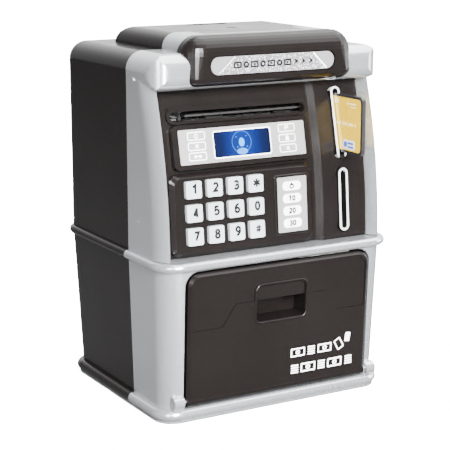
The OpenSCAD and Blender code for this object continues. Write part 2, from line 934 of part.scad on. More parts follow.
// The pinion turns with a tooth gap facing a tooth of the drive gear
module motor_pinion() {
    color("gold") translate([0, motor_y, motor_z]) {
        translate([gear_x - gear_w / 2, 0, 0]) rotate([0, 90, 0])
            rotate([0, 0, mesh_angle + 270 + 180 / pinion_teeth])
                linear_extrude(gear_w) gear_outline(pinion_teeth);
        x_rod(motor_shaft_r, -54, gear_x + gear_w / 2 + 0.5);
    }
}

module feed_motor() {
    color(steel) translate([0, motor_y, motor_z]) difference() {
        union() {
            translate([-56, 0, 0]) rotate([90, 0, 90])
                rounded_block(12, 10, 2, -6.4, 6.4);
            x_rod(2.5, -50, -49);
        }
        x_rod(motor_shaft_r + fit, -54.5, -40);
    }
}

// ---- Coin and card guides ----

module coin_chute() {
    x0 = slot_x - thin_slot_w / 2 - 0.3;
    x1 = slot_x + thin_slot_w / 2 + 0.3;
    color(inner_white) difference() {
        union() {
            box(x0 - 1.2, x0, -38, -4, 86, 119);
            box(x1, x1 + 1.2, -38, -4, 86, 119);
            box(x0 - 1.2, x1 + 1.2, -5.2, -4, 86, 119);
            box(x0 - 1.2, x1 + 1.2, -38, -26, 86, 87.4);
        }
        translate([slot_x, lever_y, lever_z]) x_rod(1, -6, 6);
    }
}

module coin_lever() {
    color("orange") translate([slot_x, lever_y, lever_z]) {
        x_rod(0.95, -4, 4);
        x_rod(2, -0.8, 0.8);
        box(-0.8, 0.8, -1, 1, -9, 0);
    }
}

module card_guide() {
    y0 = -32;
    y1 = -12;
    color(inner_white) {
        for (sx = [-1, 1])
            translate([slot_x + sx * (thin_slot_w / 2 + 0.6), 0, 0]) box(-0.6, 0.6, y0, y1, 123, 159);
        box(slot_x - thin_slot_w / 2, slot_x + thin_slot_w / 2, y0, y1, 123, 124.4);
        box(slot_x - thin_slot_w / 2, slot_x + thin_slot_w / 2, y0, y1, 157.6, 159);
    }
}

module card_switch() {
    color(rubber_black) {
        box(slot_x - 3.5, slot_x + 3.5, -11.8, -5, 134, 147);
        box(slot_x - 1.2, slot_x + 1.2, -14.2, -11.8, 138, 143);
    }
}

module bank_card() {
    color([0.85, 0.7, 0.2]) translate([slot_x, -card_out + card_len / 2, card_z])
        rotate([90, 0, 90]) rounded_block(card_len, card_h, 2.5, -card_t / 2, card_t / 2);
}

// ---- Vault ----

// Shelf outline from above, with its back corners rounded to fit the case
module shelf_outline() {
    w = half_w - wall - 0.4;
    back = body_back - back_wall - 0.3;
    r = case_r;
    translate([-w, -43.5]) square([2 * w, back + 43.5 - r]);
    translate([r - w, 0]) square([2 * w - 2 * r, back]);
    for (sx = [-1, 1]) translate([sx * (w - r), back - r]) circle(r, $fn = round_fn);
}

module vault_shelf() {
    color(gloss_black) difference() {
        translate([0, 0, shelf_z]) linear_extrude(2) shelf_outline();
        box(-40, 36, -9, 15, 80, 90);
        box(slot_x - 4, slot_x + 4, -25, 12, 80, 90);
    }
}

module lock_body() {
    color(inner_white) difference() {
        union() {
            box(lock_x, lock_x + 26, bolt_y - 4.2, bolt_y + 4.2, lug_z - 4.2, lug_z + 4.2);
            box(lock_x, lock_x + 26, bolt_y + 1, bolt_y + 4.2, lug_z + 4, ledge_top - 2.45);
        }
        translate([lock_x, bolt_y, lug_z]) {
            x_rod(bolt_r + fit, -1, 3);
            x_rod(3.3, 2, 24.5);
        }
    }
}

module lock_bolt() {
    color(steel) translate([0, bolt_y, lug_z]) {
        x_rod(bolt_r, 4.4, lock_x + 10);
        x_rod(2.9, lock_x + 10, lock_x + 13);
        x_rod(bolt_r, lock_x + 13, lock_x + 22);
    }
}

// Coil spring swept by functions
function coil_point(a, r, pitch) = [a / 360 * pitch, r * cos(a), r * sin(a)];

module lock_spring() {
    turns = 5;
    steps = 14;
    wire = 0.3;
    coil = 2.3;
    pitch = 1.4;
    color(steel) translate([lock_x + 2.5, bolt_y, lug_z]) {
        points = [for (i = [0:turns * steps]) let (a = i * 360 / steps, c = coil_point(a, coil, pitch))
            for (k = [0:5]) let (b = k * 60)
                [c[0] + wire * cos(b), c[1] + wire * sin(b) * cos(a), c[2] + wire * sin(b) * sin(a)]];
        last = turns * steps * 6;
        polyhedron(points, concat(
            [[for (k = [0:5]) k]],
            [[for (k = [5:-1:0]) last + k]],
            [for (i = [0:turns * steps - 1], k = [0:5])
                [i * 6 + k, (i + 1) * 6 + k, (i + 1) * 6 + (k + 1) % 6, i * 6 + (k + 1) % 6]]
        ));
    }
}

// Door outline seen from the front, z from the hinge line
module door_outline(inset) {
    w = door_w / 2 - inset;
    r = door_corner - inset;
    h = door_h - inset;
    translate([-w, 0]) square([2 * w, h - r]);
    translate([r - w, 0]) square([2 * w - 2 * r, h]);
    for (sx = [-1, 1]) translate([sx * (w - r), h - r]) circle(r, $fn = 32);
}

module door_slab() {
    hull() {
        translate([0, 0, 0]) rotate([90, 0, 0]) linear_extrude(eps) door_outline(1.4);
        translate([0, door_t, 0]) rotate([90, 0, 0]) linear_extrude(door_t - 1.4) door_outline(0);
    }
}

// Recessed upper half of the door's face, down to the stepped line
module door_step() {
    top = door_h - 2.2;
    edge = door_w / 2 - 2.2;
    rotate([90, 0, 0]) translate([0, 0, -0.5]) linear_extrude(5)
        polygon([[-edge, 36.4], [-33.9, 36.4], [-26.3, 47.6], [26.3, 47.6], [33.9, 36.4], [edge, 36.4],
            [edge, top - 4], [edge - 4, top], [4 - edge, top], [-edge, top - 4]]);
}

module cash_door() {
    color(gloss_black) difference() {
        union() {
            translate([0, door_front_y, pivot_z]) rotate([door_lean, 0, 0]) difference() {
                union() {
                    door_slab();
                    box(-pull_half_w - 1.6, pull_half_w + 1.6, 1, pull_depth + 1.6,
                        pull_low - 1.6, pull_high + 1.2);
                    box(-3.5, 3.5, door_t - 1, 13.6, lug_low, lug_high);
                }
                door_step();
                finger_pull();
            }
            translate([0, pivot_y, pivot_z]) x_rod(barrel_r, -door_w / 2, door_w / 2);
        }
        translate([0, pivot_y, pivot_z]) {
            x_rod(pin_r + fit, -door_w / 2 - 1, -42);
            x_rod(pin_r + fit, 42, door_w / 2 + 1);
        }
        translate([0, bolt_y, lug_z]) cube([12, keeper, keeper], center = true);
    }
}

module finger_pull() {
    rotate([90, 0, 0]) {
        translate([0, (pull_low + pull_lip) / 2, -pull_depth]) linear_extrude(pull_depth + 2)
            square([2 * pull_half_w, pull_lip - pull_low], center = true);
        translate([0, (pull_low + pull_high) / 2, -pull_depth]) linear_extrude(pull_depth - 3.4)
            square([2 * pull_half_w, pull_high - pull_low], center = true);
        translate([0, (pull_low + pull_high) / 2, -1.2]) linear_extrude(5)
            rounded_rect(2 * pull_half_w, pull_high - pull_low, 3.5);
    }
}

module hinge_pins() {
    color(steel) translate([0, pivot_y, pivot_z]) {
        x_rod(pin_r, -59, -43);
        x_rod(pin_r, 43, 59);
    }
}

// ---- Power and electronics ----

module battery_box() {
    color(gloss_black) difference() {
        box(-30.6, 30.6, -32, 17, cell_z - cell_r - 2.2, cell_z + 0.2);
        box(-cell_len / 2 - 3, cell_len / 2 + 3, cell_y - 1.5 * cell_pitch, cell_y + 1.5 * cell_pitch,
            cell_z - cell_r - 0.4, 200);
    }
}

module batteries() {
    color("seagreen") for (i = [-1, 0, 1])
        translate([0, cell_y + i * cell_pitch, cell_z]) mirror([i == 0 ? 1 : 0, 0, 0]) {
            x_rod(cell_r, -cell_len / 2, cell_len / 2 - 1.4);
            x_rod(2.7, cell_len / 2 - 1.4, cell_len / 2);
        }
}

module battery_contacts() {
    color(steel) for (i = [-1, 0, 1], sx = [-1, 1])
        translate([sx * (cell_len / 2 + 2.6), cell_y + i * cell_pitch, cell_z])
            box(-0.3, 0.3, -4.5, 4.5, -6, 0.1);
}

module battery_cover() {
    color(gloss_black) difference() {
        union() {
            translate([0, cell_y, hump_top - cover_t])
                rounded_block(2 * cover_half_w, 2 * cover_half_d, 2, 0, cover_t);
            translate([0, cell_y, hump_top - cover_t - 2]) cylinder(r = 4, h = 2, $fn = 48);
        }
        translate([0, cell_y, 0]) cylinder(r = screw_r + 0.1, h = 200, $fn = 32);
        translate([0, cell_y, hump_top - 2]) cylinder(r = screw_head_r + 0.3, h = 5, $fn = 48);
    }
}

module cover_screw() {
    color(steel) translate([0, cell_y, hump_top - 2]) rotate([180, 0, 0]) screw(3);
}

module speaker() {
    color(steel) translate([-30, body_back - back_wall - 0.4, 122]) {
        y_rod(18, -3, 0);
        y_rod(12, -8, -3);
    }
}

module control_board() {
    color(board_green) translate([0, body_back - back_wall, 0]) {
        box(-6, 48, -5.6, -4, 98, 150);
        for (x = [2, 20, 36], z = [104, 122, 138])
            box(x, x + 8, -8, -5.6, z, z + 8);
        for (x = [-3, 45], z = [101, 147])
            translate([x, 0, z]) y_rod(2, -4, -0.1);
    }
}

upper_frame();
lower_frame();
rear_case();
base_plate();
base_screws();
case_screws();
hood();
header_plate();
facia_panel();
column_panel();
bill_slot_bezel();
display_bezel();
display_label();
display_screen();
display_board();
keypad_plate();
key_1();
key_2();
key_3();
key_star();
key_4();
key_5();
key_6();
key_0();
key_7();
key_8();
key_9();
key_hash();
keypad_mat();
keypad_board();
amount_label();
card_slot_bezel();
coin_slot_bezel();
roller_frame();
drive_shaft();
drive_tyres();
drive_gear();
pressure_shaft();
pressure_tyres();
feed_motor();
motor_pinion();
coin_chute();
coin_lever();
card_guide();
card_switch();
vault_shelf();
battery_box();
batteries();
battery_contacts();
battery_cover();
cover_screw();
speaker();
control_board();
lock_body();
lock_bolt();
lock_spring();
cash_door();
hinge_pins();
bank_card();
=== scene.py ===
import math

import bmesh
import bpy
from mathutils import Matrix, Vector


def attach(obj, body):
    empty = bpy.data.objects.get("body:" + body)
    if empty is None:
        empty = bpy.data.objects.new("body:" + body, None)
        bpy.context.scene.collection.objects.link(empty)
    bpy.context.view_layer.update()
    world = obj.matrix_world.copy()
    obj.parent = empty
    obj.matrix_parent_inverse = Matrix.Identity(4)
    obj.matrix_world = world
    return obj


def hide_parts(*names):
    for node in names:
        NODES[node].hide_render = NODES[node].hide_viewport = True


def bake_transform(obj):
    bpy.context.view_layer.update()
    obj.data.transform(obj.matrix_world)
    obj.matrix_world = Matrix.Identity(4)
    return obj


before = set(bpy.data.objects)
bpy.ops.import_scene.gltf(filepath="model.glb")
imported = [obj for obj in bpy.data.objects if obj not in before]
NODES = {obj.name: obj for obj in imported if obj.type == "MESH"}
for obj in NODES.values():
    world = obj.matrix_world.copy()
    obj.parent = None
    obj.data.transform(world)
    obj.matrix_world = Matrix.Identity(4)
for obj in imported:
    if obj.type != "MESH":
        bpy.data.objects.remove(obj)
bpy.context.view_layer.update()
KEYS = ["key_1", "key_2", "key_3", "key_star", "key_4", "key_5", "key_6", "key_0",
        "key_7", "key_8", "key_9", "key_hash"]
MM = 0.001

# The curved front is part of a cylinder about an axis along X
ARC_Y = 218.9 * MM
ARC_Z = 80.8 * MM
FRONT_R = 265.4 * MM

# Middles of the display and keypad plates and of the screen glass
DISPLAY_X = -14.5
DISPLAY_Z = 135.4
SCREEN_X = -14.8
KEYPAD_X = -15.4
KEYPAD_Z = 102.8

# The upright slots: their middle, and the middle height and half height of each straight part
SLOT_X = 43.0
SLOT_ENDS = [(141.1, 16.2), (102.5, 13.35)]
RING_IN = 1.63
RING_OUT = 2.85

# The cash door's face rises from its pivot and leans outwards
DOOR_Y = -55.43
DOOR_Z = 10.8
DOOR_LEAN = math.radians(3.03)


# ---- Node helpers ----

class Tree:
    """A node tree, with short calls for the nodes this scene uses."""

    def __init__(self, tree):
        self.tree = tree

    def add(self, kind, **values):
        node = self.tree.nodes.new(kind)
        for key, value in values.items():
            if key in node.inputs:
                node.inputs[key].default_value = value
            else:
                setattr(node, key, value)
        return node

    def link(self, source, target):
        self.tree.links.new(source, target)

    def spread(self, value, low, high):
        """Maps the middle of a noise, where most of it lies, onto low to high."""
        node = self.add("ShaderNodeMapRange")
        node.inputs["From Min"].default_value = 0.3
        node.inputs["From Max"].default_value = 0.7
        node.inputs["To Min"].default_value = low
        node.inputs["To Max"].default_value = high
        self.link(value, node.inputs["Value"])
        return node.outputs["Result"]

    def colours(self, value, low, high, from_low=0.3, from_high=0.7):
        node = self.add("ShaderNodeValToRGB")
        node.color_ramp.elements[0].position = from_low
        node.color_ramp.elements[1].position = from_high
        node.color_ramp.elements[0].color = (*low, 1)
        node.color_ramp.elements[1].color = (*high, 1)
        self.link(value, node.inputs["Fac"])
        return node.outputs["Color"]

    def math(self, kind, *values):
        node = self.add("ShaderNodeMath", operation=kind)
        for socket, value in zip(node.inputs, values):
            if isinstance(value, float):
                socket.default_value = value
            else:
                self.link(value, socket)
        return node.outputs["Value"]

    def split_by_ray(self, for_camera, for_others):
        """One shader for camera rays, another for light and reflections."""
        rays = self.add("ShaderNodeLightPath")
        mix = self.add("ShaderNodeMixShader")
        self.link(rays.outputs["Is Camera Ray"], mix.inputs[0])
        self.link(for_others, mix.inputs[1])
        self.link(for_camera, mix.inputs[2])
        return mix.outputs[0]


class Shader(Tree):
    """A material's node tree round a Principled BSDF."""

    def __init__(self, name):
        self.material = bpy.data.materials.new(name)
        self.material.use_nodes = True
        super().__init__(self.material.node_tree)
        self.bsdf = self.tree.nodes["Principled BSDF"]
        self.place = self.add("ShaderNodeTexCoord").outputs["Object"]

    def set(self, **values):
        for key, value in values.items():
            self.bsdf.inputs[key.replace("_", " ")].default_value = value

    def noise(self, scale, detail=2.0, roughness=0.5):
        node = self.add("ShaderNodeTexNoise", Scale=scale, Detail=detail, Roughness=roughness)
        self.link(self.place, node.inputs["Vector"])
        return node.outputs["Fac"]

    def split_place(self):
        node = self.add("ShaderNodeSeparateXYZ")
        self.link(self.place, node.inputs["Vector"])
        return node.outputs

    def roughness(self, value):
        self.link(value, self.bsdf.inputs["Roughness"])

    def colour(self, value):
        self.link(value, self.bsdf.inputs["Base Color"])

    def bump(self, value, strength):
        node = self.add("ShaderNodeBump", Strength=strength, Distance=0.1 * MM)
        self.link(value, node.inputs["Height"])
        self.link(node.outputs["Normal"], self.bsdf.inputs["Normal"])


# ---- Materials ----

def moulded(name, low, high, rough, grain=0.0, speck=2600.0, metallic=0.0, coat=0.0, drift=22.0,
            specular=0.5):
    """Moulded or painted plastic: slight colour drift, uneven gloss and a fine skin."""
    s = Shader(name)
    s.set(Metallic=metallic, Coat_Weight=coat, Coat_Roughness=0.1, Specular_IOR_Level=specular)
    s.colour(s.colours(s.noise(drift, 4.0), low, high))
    s.roughness(s.spread(s.noise(70.0, 5.0, 0.6), rough[0], rough[1]))
    if grain:
        s.bump(s.noise(speck, 3.0, 0.6), grain)
    return s.material


def glitter():
    """Printed foil: pale specks on a grey ground."""
    s = Shader("glitter_foil")
    s.set(Metallic=0.35, Roughness=0.3)
    cells = s.add("ShaderNodeTexVoronoi", Scale=950.0)
    s.link(s.place, cells.inputs["Vector"])
    s.colour(s.colours(cells.outputs["Distance"], (0.88, 0.88, 0.90), (0.17, 0.165, 0.175), 0.16, 0.46))
    s.bump(cells.outputs["Distance"], 0.3)
    return s.material


def slot_ring():
    """Pale ring round each upright slot, black inside it and down its outer wall."""
    s = Shader("slot_trim")
    s.set(Metallic=0.25, Roughness=0.25)
    place = s.split_place()
    aside = s.math("SUBTRACT", place["X"], SLOT_X * MM)
    total = None
    for mid, half in SLOT_ENDS:
        above = s.math("ABSOLUTE", s.math("SUBTRACT", place["Z"], mid * MM))
        past = s.math("MAXIMUM", s.math("SUBTRACT", above, half * MM), 0.0)
        away = s.math("SQRT", s.math("ADD", s.math("MULTIPLY", aside, aside), s.math("MULTIPLY", past, past)))
        inside = s.math("GREATER_THAN", away, RING_IN * MM)
        ring_here = s.math("MULTIPLY", inside, s.math("LESS_THAN", away, RING_OUT * MM))
        total = s.math("MAXIMUM", total, ring_here) if total else ring_here
    shade = s.math("MULTIPLY", total, s.spread(s.noise(400.0), 0.94, 1.0))
    s.colour(s.colours(shade, (0.008, 0.0075, 0.007), (0.60, 0.60, 0.62), 0.0, 1.0))
    return s.material


def painted_glow_screen():
    """Screen glass: navy, with a painted glow that grows brighter towards the middle."""
    s = Shader("screen_blue")
    s.set(Roughness=0.12, Coat_Weight=0.2, Coat_Roughness=0.05)
    away = s.math("ABSOLUTE", s.math("ADD", s.split_place()["X"], -SCREEN_X * MM))
    # Painted glow: the colour and its emission both get brighter towards the middle of the screen
    glow = s.colours(away, (0.0012, 0.009, 0.07), (0.0008, 0.002, 0.012), 0.002, 0.0125)
    s.colour(glow)
    s.link(glow, s.bsdf.inputs["Emission Color"])
    s.set(Emission_Strength=0.2)
    return s.material


MATERIALS = {
    "silver": moulded("silver_paint", (0.47, 0.485, 0.505), (0.50, 0.515, 0.535), (0.22, 0.25), grain=0.03,
                      speck=5200.0, metallic=0.8, coat=0.3),
    "black": moulded("gloss_black", (0.0038, 0.0030, 0.0028), (0.0050, 0.0040, 0.0037), (0.2, 0.27),
                     grain=0.04, speck=900.0, coat=0.05, specular=0.17),
    "matt_black": moulded("matt_black", (0.008, 0.008, 0.008), (0.012, 0.0115, 0.011), (0.5, 0.6),
                          grain=0.3, speck=1500.0),
    "key": moulded("key_plastic", (0.36, 0.385, 0.40), (0.41, 0.435, 0.45), (0.34, 0.42), grain=0.08),
    "trim": slot_ring(),
    "inner": moulded("inner_plastic", (0.5, 0.49, 0.45), (0.58, 0.57, 0.53), (0.4, 0.5), grain=0.2),
    "lever": moulded("lever_plastic", (0.6, 0.15, 0.02), (0.68, 0.2, 0.04), (0.35, 0.45), grain=0.2),
    "rubber": moulded("rubber", (0.012, 0.012, 0.012), (0.02, 0.02, 0.02), (0.6, 0.75), grain=0.5,
                      speck=2000.0),
    "board": moulded("circuit_board", (0.015, 0.16, 0.05), (0.02, 0.22, 0.08), (0.3, 0.4), grain=0.1),
    "steel": moulded("zinc_steel", (0.5, 0.5, 0.51), (0.58, 0.58, 0.59), (0.25, 0.4), grain=0.15,
                     speck=3000.0, metallic=0.95),
    "brass": moulded("brass", (0.62, 0.44, 0.16), (0.7, 0.52, 0.2), (0.2, 0.3), grain=0.1,
                     speck=3000.0, metallic=0.95),
    "cell": moulded("cell_wrap", (0.02, 0.2, 0.12), (0.03, 0.26, 0.16), (0.2, 0.3), grain=0.05, speck=900.0),
    "label": moulded("label_silver", (0.22, 0.225, 0.22), (0.26, 0.265, 0.26), (0.34, 0.42), grain=0.15,
                     speck=6000.0, metallic=0.3),
    "foil": moulded("header_foil", (0.20, 0.20, 0.21), (0.24, 0.24, 0.25), (0.3, 0.38), grain=0.1,
                    speck=3000.0, metallic=0.3),
    "card": moulded("card_edge", (0.012, 0.011, 0.012), (0.02, 0.019, 0.02), (0.15, 0.22), grain=0.05),
    "ink_black": moulded("ink_black", (0.0025, 0.003, 0.0035), (0.004, 0.0045, 0.005), (0.5, 0.6),
                         grain=0.1, specular=0.12),
    "ink_white": moulded("ink_white", (0.93, 0.94, 0.94), (0.97, 0.97, 0.97), (0.4, 0.5), grain=0.1),
    "ink_pale": moulded("ink_pale", (0.66, 0.66, 0.66), (0.72, 0.72, 0.72), (0.4, 0.5), grain=0.1),
    "gold": moulded("card_gold", (0.80, 0.50, 0.005), (0.86, 0.55, 0.008), (0.22, 0.3), grain=0.06,
                    speck=1200.0, metallic=0.2, coat=0.3, drift=60.0),
    "gold_pale": moulded("gold_pale", (0.85, 0.68, 0.28), (0.92, 0.76, 0.38), (0.3, 0.4), grain=0.05),
    "card_blue": moulded("card_blue", (0.02, 0.09, 0.40), (0.03, 0.12, 0.5), (0.3, 0.4), grain=0.05),
    "screen_ring": moulded("screen_ring", (0.008, 0.045, 0.2), (0.01, 0.055, 0.24), (0.2, 0.3), grain=0.05),
    "screen_head": moulded("screen_head", (0.018, 0.16, 0.42), (0.022, 0.18, 0.46), (0.2, 0.3), grain=0.05),
    "screen_body": moulded("screen_body", (0.03, 0.11, 0.32), (0.035, 0.13, 0.36), (0.2, 0.3), grain=0.05),
    "screen": painted_glow_screen(),
    "glitter": glitter(),
}

PAINT = {
    "silver": ["upper_frame", "lower_frame", "base_plate"],
    "black": ["rear_case", "hood", "facia_panel", "column_panel", "bill_slot_bezel", "display_bezel",
              "keypad_plate", "cash_door", "battery_cover"],
    "matt_black": ["vault_shelf", "battery_box", "card_switch", "roller_frame", "drive_gear", "card_guide",
                   "coin_chute"],
    "key": KEYS,
    "trim": ["card_slot_bezel", "coin_slot_bezel"],
    "inner": ["lock_body"],
    "lever": ["coin_lever"],
    "rubber": ["keypad_mat", "drive_tyres", "pressure_tyres"],
    "board": ["display_board", "keypad_board", "control_board"],
    "steel": ["base_screws", "case_screws", "drive_shaft", "pressure_shaft", "feed_motor",
              "battery_contacts", "cover_screw", "speaker", "lock_bolt", "lock_spring", "hinge_pins"],
    "brass": ["motor_pinion"],
    "cell": ["batteries"],
    "label": ["display_label", "amount_label"],
    "foil": ["header_plate"],
    "screen": ["display_screen"],
    "card": ["bank_card"],
}


def paint_nodes():
    for paint, names in PAINT.items():
        for name in names:
            mesh = NODES[name].data
            mesh.materials.clear()
            mesh.materials.append(MATERIALS[paint])


# Width of the soft edge of each moulded node, in millimetres
KEY_EDGE = 0.55
EDGES = {"upper_frame": 0.5, "lower_frame": 0.5, "rear_case": 0.4, "hood": 0.4, "facia_panel": 0.25,
         "column_panel": 0.35, "bill_slot_bezel": 0.9, "display_bezel": 0.9, "keypad_plate": 0.7,
         "cash_door": 0.35, "battery_cover": 0.4, "card_slot_bezel": 0.8, "coin_slot_bezel": 0.8,
         "base_plate": 0.4, "bank_card": 0.35}


def soften_edges():
    for name in list(EDGES) + KEYS:
        node = NODES[name]
        bevel = node.modifiers.new("edge", "BEVEL")
        bevel.width = EDGES.get(name, KEY_EDGE) * MM
        bevel.segments = 3
        bevel.limit_method = "ANGLE"
        bevel.angle_limit = math.radians(35)
        bevel.harden_normals = True


# ---- Building pieces ----

def bridge(b, low, high):
    """Faces between two loops with the same number of vertices."""
    for i in range(len(low)):
        j = (i + 1) % len(low)
        b.faces.new((low[i], low[j], high[j], high[i]))


def add_piece(name, b, material, smooth=False):
    """Turns a bmesh into a named object with one material."""
    bmesh.ops.recalc_face_normals(b, faces=b.faces)
    mesh = bpy.data.meshes.new(name)
    b.to_mesh(mesh)
    b.free()
    mesh.materials.append(material)
    for face in mesh.polygons:
        face.use_smooth = smooth
    piece = bpy.data.objects.new(name, mesh)
    bpy.context.scene.collection.objects.link(piece)
    return piece


# ---- Prints: thin flat pieces of ink, laid out in millimetres on a plane ----

PRINT_LIFT = 0.012 * MM
PRINT_T = 0.03 * MM
STROKE_STEP = 0.002 * MM


class Plane:
    """A flat face to print on, with its own right, up and out directions."""

    def __init__(self, origin, right, up, node=None):
        self.origin = Vector(origin) * MM
        self.right = Vector(right).normalized()
        self.up = Vector(up).normalized()
        self.out = self.right.cross(self.up)
        self.lift = PRINT_LIFT
        if node:
            self.lift += max((v.co - self.origin).dot(self.out) for v in NODES[node].data.vertices)

    def at(self, x, y, lift):
        return self.origin + self.right * (x * MM) + self.up * (y * MM) + self.out * (self.lift + lift)


def front_plane(x, z, node):
    """The plane that touches the curved front at a place."""
    tilt = math.asin((z * MM - ARC_Z) / FRONT_R)
    up = (0, math.sin(tilt), math.cos(tilt))
    return Plane((x, (ARC_Y - FRONT_R * math.cos(tilt)) / MM, z), (1, 0, 0), up, node)


def turned(points, cx, cy, degrees):
    c, s = math.cos(math.radians(degrees)), math.sin(math.radians(degrees))
    return [(cx + x * c - y * s, cy + x * s + y * c) for x, y in points]


def block(cx, cy, w, h, r=0.0, degrees=0.0):
    """Outline of a rectangle with round corners."""
    if r <= 0:
        points = [(w / 2, h / 2), (-w / 2, h / 2), (-w / 2, -h / 2), (w / 2, -h / 2)]
        return turned(points, cx, cy, degrees)
    points = []
    for i, (sx, sy) in enumerate([(1, 1), (-1, 1), (-1, -1), (1, -1)]):
        for k in range(9):
            a = math.radians(90 * i + 90 * k / 8)
            points.append((sx * (w / 2 - r) + r * math.cos(a), sy * (h / 2 - r) + r * math.sin(a)))
    return turned(points, cx, cy, degrees)


def disc(cx, cy, rx, ry=None):
    ry = ry or rx
    return [(cx + rx * math.cos(a * math.pi / 20), cy + ry * math.sin(a * math.pi / 20)) for a in range(40)]


def ring(cx, cy, r, line):
    return disc(cx, cy, r), disc(cx, cy, r - line)


def outline(cx, cy, w, h, r, line, degrees=0.0):
    inner = block(cx, cy, w - 2 * line, h - 2 * line, max(r - line, 0.05), degrees)
    return block(cx, cy, w, h, r, degrees), inner


def line(x0, y0, x1, y1, width):
    length = math.hypot(x1 - x0, y1 - y0)
    return block((x0 + x1) / 2, (y0 + y1) / 2, length, width, 0, math.degrees(math.atan2(y1 - y0, x1 - x0)))


def cross(cx, cy, size, width):
    """One whole bar and two halves, which stop short of it."""
    gap = 0.15
    return [line(cx - size, cy - size, cx + size, cy + size, width),
            line(cx - size, cy + size, cx - gap, cy + gap, width),
            line(cx + gap, cy - gap, cx + size, cy - size, width)]


def ink(name, plane, shapes, material, body, lift=0.0, step=0.0):
    """One printed piece. A shape is an outline, or an outer and an inner outline.

    Each shape lies a step above the last.
    """
    b = bmesh.new()
    for shape in shapes:
        holed = isinstance(shape, tuple)
        rings = []
        for points in (shape if holed else (shape,)):
            low = [b.verts.new(plane.at(x, y, lift)) for x, y in points]
            high = [b.verts.new(plane.at(x, y, lift + PRINT_T)) for x, y in points]
            rings.append((low, high))
        lift += step
        low, high = rings[0]
        bridge(b, low, high)
        if holed:
            low_in, high_in = rings[1]
            bridge(b, high, high_in)
            bridge(b, low_in, low)
            bridge(b, high_in, low_in)
        else:
            b.faces.new(high)
            b.faces.new(low[::-1])
    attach(add_piece(name, b, MATERIALS[material]), body)


def arc(cx, cy, rx, ry, start, end):
    steps = 14
    angles = [math.radians(start + (end - start) * i / steps) for i in range(steps + 1)]
    return [(cx + rx * math.cos(a), cy + ry * math.sin(a)) for a in angles]


def ribbon(points, width):
    """Outline of a line of even width through points, mitred where it turns."""
    left, right = [], []
    for i, (x, y) in enumerate(points):
        (ax, ay), (bx, by) = points[max(i - 1, 0)], points[min(i + 1, len(points) - 1)]
        before = Vector((x - ax, y - ay)) if i else Vector((bx - x, by - y))
        after = Vector((bx - x, by - y)) if i < len(points) - 1 else before
        way = (before.normalized() + after.normalized()).normalized()
        reach = width / 2 / max(way.dot(after.normalized()), 0.35)
        left.append((x - way.y * reach, y + way.x * reach))
        right.append((x + way.y * reach, y - way.x * reach))
    return left + right[::-1]


def six():
    return [arc(0.31, 0.29, 0.24, 0.25, 170, -190), arc(0.46, 0.36, 0.39, 0.55, 178, 82)]


# Strokes of each glyph, in a box GLYPH_W wide and 1 high
GLYPH_W = 0.62
GLYPHS = {
    "0": [arc(0.31, 0.5, 0.24, 0.43, 90, -270)],
    "1": [[(0.07, 0.72), (0.37, 0.93), (0.37, 0.02)]],
    "2": [[*arc(0.31, 0.69, 0.23, 0.24, 165, -38), (0.10, 0.09), (0.60, 0.09)]],
    "3": [[*arc(0.29, 0.71, 0.22, 0.21, 155, -80), *arc(0.29, 0.29, 0.25, 0.23, 80, -155)]],
    "4": [[(0.60, 0.27), (0.04, 0.27)], [(0.08, 0.24), (0.44, 0.96)], [(0.44, 1.0), (0.44, 0.02)]],
    "5": [[(0.56, 0.92), (0.17, 0.92), *arc(0.30, 0.33, 0.26, 0.26, 130, -150)]],
    "6": six(),
    "7": [[(0.05, 0.92), (0.56, 0.92), (0.22, 0.02)]],
    "8": [arc(0.31, 0.73, 0.20, 0.20, 90, -270), arc(0.31, 0.28, 0.24, 0.23, 90, -270)],
    "9": [[(GLYPH_W - x, 1 - y) for x, y in stroke] for stroke in six()],
    "*": [[(0.31 + end * 0.3 * math.cos(a), 0.5 + end * 0.3 * math.sin(a)) for end in (-1, 1)]
          for a in (math.radians(d) for d in (30, 90, 150))],
    "#": [[(0.22, 0.14), (0.28, 0.86)], [(0.42, 0.14), (0.48, 0.86)], [(0.04, 0.64), (0.64, 0.64)],
          [(0.02, 0.36), (0.62, 0.36)]],
}


def glyphs(text, cx, cy, height, weight):
    """Outlines of the strokes of a short number, centred on a place."""
    step = 0.78
    shapes = []
    for i, mark in enumerate(text):
        x = cx - height * (GLYPH_W + step * (len(text) - 1)) / 2 + height * step * i
        for stroke in GLYPHS[mark]:
            shapes.append(ribbon([(x + px * height, cy + (py - 0.5) * height) for px, py in stroke], weight))
    return shapes


KEY_TEXTS = ["1", "2", "3", "*", "4", "5", "6", "0", "7", "8", "9", "#"]
DIGIT_SIZE = (4.5, 1.2)
SIGN_SIZES = {"*": (7.0, 1.1), "#": (4.8, 0.75)}


def print_keys():
    first_x, first_y = -28.85, 13.05
    pitch_x, pitch_y = 11.65, 11.5
    for i, (key, text) in enumerate(zip(KEYS, KEY_TEXTS)):
        x = first_x + pitch_x * (i % 4)
        y = first_y - pitch_y * (i // 4)
        plane = front_plane(KEYPAD_X, KEYPAD_Z, key)
        shapes = glyphs(text, x, y, *SIGN_SIZES.get(text, DIGIT_SIZE))
        ink("legend_" + key, plane, shapes, "ink_black", key, step=STROKE_STEP)


def print_amounts():
    plane = front_plane(KEYPAD_X, KEYPAD_Z, "amount_label")
    x = 26.9
    rows = [9.5 - 6.3 * i for i in range(4)]
    ink("amount_pills", plane, [block(x, y, 10.8, 4.6, 2.0) for y in rows], "ink_white", "case")
    power = [ring(x, 9.3, 1.4, 0.75), line(x, 9.6, x, 11.1, 0.8)]
    ink("power_mark", plane, power, "ink_black", "case", PRINT_T)
    for y, text in zip(rows[1:], ("10", "20", "30")):
        ink("amount_" + text, plane, glyphs(text, x, y, 2.7, 0.8), "ink_black", "case", PRINT_T, STROKE_STEP)


